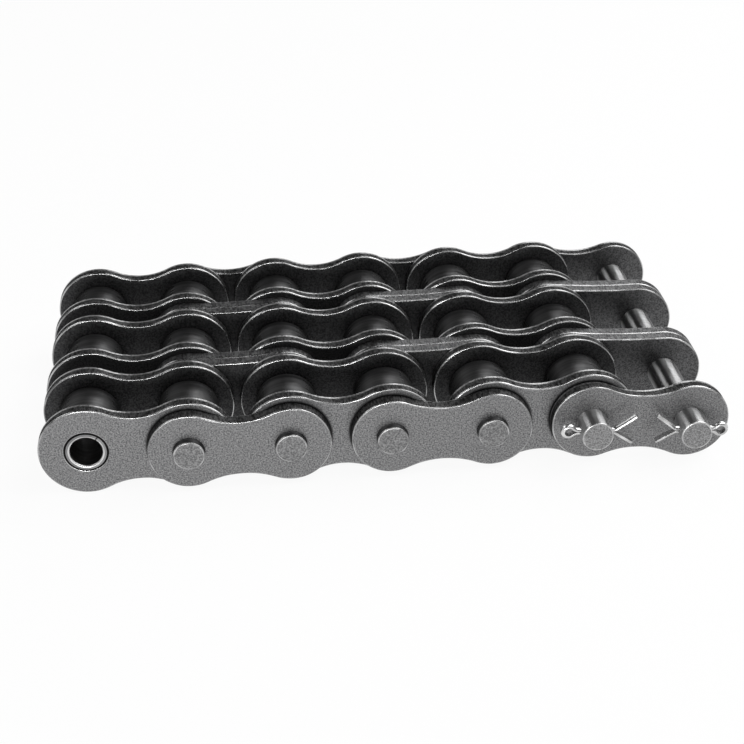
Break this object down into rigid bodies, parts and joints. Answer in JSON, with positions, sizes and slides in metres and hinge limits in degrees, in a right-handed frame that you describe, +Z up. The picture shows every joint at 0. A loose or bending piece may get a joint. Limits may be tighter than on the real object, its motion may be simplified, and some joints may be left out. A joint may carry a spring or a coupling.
{
  "type": "triplex roller chain",
  "caption": "Flat length of triplex roller chain with waisted link plates, free-turning rollers on bushes, riveted pins and a cottered connecting link for joining its ends.",
  "frame": {"origin": "centre of the open bush at the left end of the middle strand, on the chain's pitch line", "axes": "+X along the chain towards the connecting link, +Y along the pins from the front strand to the back one, +Z up"},
  "size_m": [0.1745, 0.0968, 0.0238],
  "materials": {
    "plate_steel": "shot-peened dark satin steel",
    "roller_steel": "turned dark satin steel",
    "bush_steel": "hardened satin steel",
    "pin_steel": "ground bright steel",
    "cotter_steel": "bright drawn wire"
  },
  "bodies": {
    "roller_link_2": {"inner_plate_2_front_near": "plate_steel", "inner_plate_2_front_far": "plate_steel", "bushes_2_front": "bush_steel", "inner_plate_2_middle_near": "plate_steel", "inner_plate_2_middle_far": "plate_steel", "bushes_2_middle": "bush_steel", "inner_plate_2_back_near": "plate_steel", "inner_plate_2_back_far": "plate_steel", "bushes_2_back": "bush_steel"},
    "outer_link_1": {"outer_plate_1_near": "plate_steel", "outer_plate_1_far": "plate_steel", "middle_plates_1": "plate_steel", "rivet_pins_1": "pin_steel"},
    "roller_link_1_front": {"inner_plate_1_front_near": "plate_steel", "inner_plate_1_front_far": "plate_steel", "bushes_1_front": "bush_steel"},
    "roller_link_1_middle": {"inner_plate_1_middle_near": "plate_steel", "inner_plate_1_middle_far": "plate_steel", "bushes_1_middle": "bush_steel"},
    "roller_link_1_back": {"inner_plate_1_back_near": "plate_steel", "inner_plate_1_back_far": "plate_steel", "bushes_1_back": "bush_steel"},
    "outer_link_2": {"outer_plate_2_near": "plate_steel", "outer_plate_2_far": "plate_steel", "middle_plates_2": "plate_steel", "rivet_pins_2": "pin_steel"},
    "roller_link_3": {"inner_plate_3_front_near": "plate_steel", "inner_plate_3_front_far": "plate_steel", "bushes_3_front": "bush_steel", "inner_plate_3_middle_near": "plate_steel", "inner_plate_3_middle_far": "plate_steel", "bushes_3_middle": "bush_steel", "inner_plate_3_back_near": "plate_steel", "inner_plate_3_back_far": "plate_steel", "bushes_3_back": "bush_steel"},
    "connecting_link": {"connecting_cover_plate": "plate_steel", "connecting_back_plate": "plate_steel", "connecting_middle_plates": "plate_steel", "connecting_pins": "pin_steel", "cotter_left": "cotter_steel", "cotter_right": "cotter_steel"},
    "roller_0_front": {"roller_0_front": "roller_steel"},
    "roller_0_middle": {"roller_0_middle": "roller_steel"},
    "roller_0_back": {"roller_0_back": "roller_steel"},
    "roller_1_front": {"roller_1_front": "roller_steel"},
    "roller_1_middle": {"roller_1_middle": "roller_steel"},
    "roller_1_back": {"roller_1_back": "roller_steel"},
    "roller_2_front": {"roller_2_front": "roller_steel"},
    "roller_2_middle": {"roller_2_middle": "roller_steel"},
    "roller_2_back": {"roller_2_back": "roller_steel"},
    "roller_3_front": {"roller_3_front": "roller_steel"},
    "roller_3_middle": {"roller_3_middle": "roller_steel"},
    "roller_3_back": {"roller_3_back": "roller_steel"},
    "roller_4_front": {"roller_4_front": "roller_steel"},
    "roller_4_middle": {"roller_4_middle": "roller_steel"},
    "roller_4_back": {"roller_4_back": "roller_steel"},
    "roller_5_front": {"roller_5_front": "roller_steel"},
    "roller_5_middle": {"roller_5_middle": "roller_steel"},
    "roller_5_back": {"roller_5_back": "roller_steel"}
  },
  "joints": [
    {"name": "outer_link_1_flex", "type": "hinge", "parent": "roller_link_2", "child": "outer_link_1", "pos_m": [0.0508, 0, 0], "axis": [0, 1, 0], "range_deg": [-60, 60]},
    {"name": "roller_link_1_front_flex", "type": "hinge", "parent": "outer_link_1", "child": "roller_link_1_front", "pos_m": [0.0254, -0.02929, 0], "axis": [0, 1, 0], "range_deg": [-60, 60]},
    {"name": "roller_link_1_middle_flex", "type": "hinge", "parent": "outer_link_1", "child": "roller_link_1_middle", "pos_m": [0.0254, 0, 0], "axis": [0, 1, 0], "range_deg": [-60, 60]},
    {"name": "roller_link_1_back_flex", "type": "hinge", "parent": "outer_link_1", "child": "roller_link_1_back", "pos_m": [0.0254, 0.02929, 0], "axis": [0, 1, 0], "range_deg": [-60, 60]},
    {"name": "outer_link_2_flex", "type": "hinge", "parent": "roller_link_2", "child": "outer_link_2", "pos_m": [0.0762, 0, 0], "axis": [0, 1, 0], "range_deg": [-60, 60]},
    {"name": "roller_link_3_flex", "type": "hinge", "parent": "outer_link_2", "child": "roller_link_3", "pos_m": [0.1016, 0, 0], "axis": [0, 1, 0], "range_deg": [-60, 60]},
    {"name": "connecting_link_flex", "type": "hinge", "parent": "roller_link_3", "child": "connecting_link", "pos_m": [0.127, 0, 0], "axis": [0, 1, 0], "range_deg": [-63.72, 56.28]},
    {"name": "roller_0_front_spin", "type": "hinge", "parent": "roller_link_1_front", "child": "roller_0_front", "pos_m": [0, -0.02929, 0], "axis": [0, 1, 0], "continuous": true},
    {"name": "roller_0_middle_spin", "type": "hinge", "parent": "roller_link_1_middle", "child": "roller_0_middle", "pos_m": [0, 0, 0], "axis": [0, 1, 0], "continuous": true},
    {"name": "roller_0_back_spin", "type": "hinge", "parent": "roller_link_1_back", "child": "roller_0_back", "pos_m": [0, 0.02929, 0], "axis": [0, 1, 0], "continuous": true},
    {"name": "roller_1_front_spin", "type": "hinge", "parent": "roller_link_1_front", "child": "roller_1_front", "pos_m": [0.0254, -0.02929, 0], "axis": [0, 1, 0], "continuous": true},
    {"name": "roller_1_middle_spin", "type": "hinge", "parent": "roller_link_1_middle", "child": "roller_1_middle", "pos_m": [0.0254, 0, 0], "axis": [0, 1, 0], "continuous": true},
    {"name": "roller_1_back_spin", "type": "hinge", "parent": "roller_link_1_back", "child": "roller_1_back", "pos_m": [0.0254, 0.02929, 0], "axis": [0, 1, 0], "continuous": true},
    {"name": "roller_2_front_spin", "type": "hinge", "parent": "roller_link_2", "child": "roller_2_front", "pos_m": [0.0508, -0.02929, 0], "axis": [0, 1, 0], "continuous": true},
    {"name": "roller_2_middle_spin", "type": "hinge", "parent": "roller_link_2", "child": "roller_2_middle", "pos_m": [0.0508, 0, 0], "axis": [0, 1, 0], "continuous": true},
    {"name": "roller_2_back_spin", "type": "hinge", "parent": "roller_link_2", "child": "roller_2_back", "pos_m": [0.0508, 0.02929, 0], "axis": [0, 1, 0], "continuous": true},
    {"name": "roller_3_front_spin", "type": "hinge", "parent": "roller_link_2", "child": "roller_3_front", "pos_m": [0.0762, -0.02929, 0], "axis": [0, 1, 0], "continuous": true},
    {"name": "roller_3_middle_spin", "type": "hinge", "parent": "roller_link_2", "child": "roller_3_middle", "pos_m": [0.0762, 0, 0], "axis": [0, 1, 0], "continuous": true},
    {"name": "roller_3_back_spin", "type": "hinge", "parent": "roller_link_2", "child": "roller_3_back", "pos_m": [0.0762, 0.02929, 0], "axis": [0, 1, 0], "continuous": true},
    {"name": "roller_4_front_spin", "type": "hinge", "parent": "roller_link_3", "child": "roller_4_front", "pos_m": [0.1016, -0.02929, 0], "axis": [0, 1, 0], "continuous": true},
    {"name": "roller_4_middle_spin", "type": "hinge", "parent": "roller_link_3", "child": "roller_4_middle", "pos_m": [0.1016, 0, 0], "axis": [0, 1, 0], "continuous": true},
    {"name": "roller_4_back_spin", "type": "hinge", "parent": "roller_link_3", "child": "roller_4_back", "pos_m": [0.1016, 0.02929, 0], "axis": [0, 1, 0], "continuous": true},
    {"name": "roller_5_front_spin", "type": "hinge", "parent": "roller_link_3", "child": "roller_5_front", "pos_m": [0.127, -0.02929, 0], "axis": [0, 1, 0], "continuous": true},
    {"name": "roller_5_middle_spin", "type": "hinge", "parent": "roller_link_3", "child": "roller_5_middle", "pos_m": [0.127, 0, 0], "axis": [0, 1, 0], "continuous": true},
    {"name": "roller_5_back_spin", "type": "hinge", "parent": "roller_link_3", "child": "roller_5_back", "pos_m": [0.127, 0.02929, 0], "axis": [0, 1, 0], "continuous": true}
  ]
}
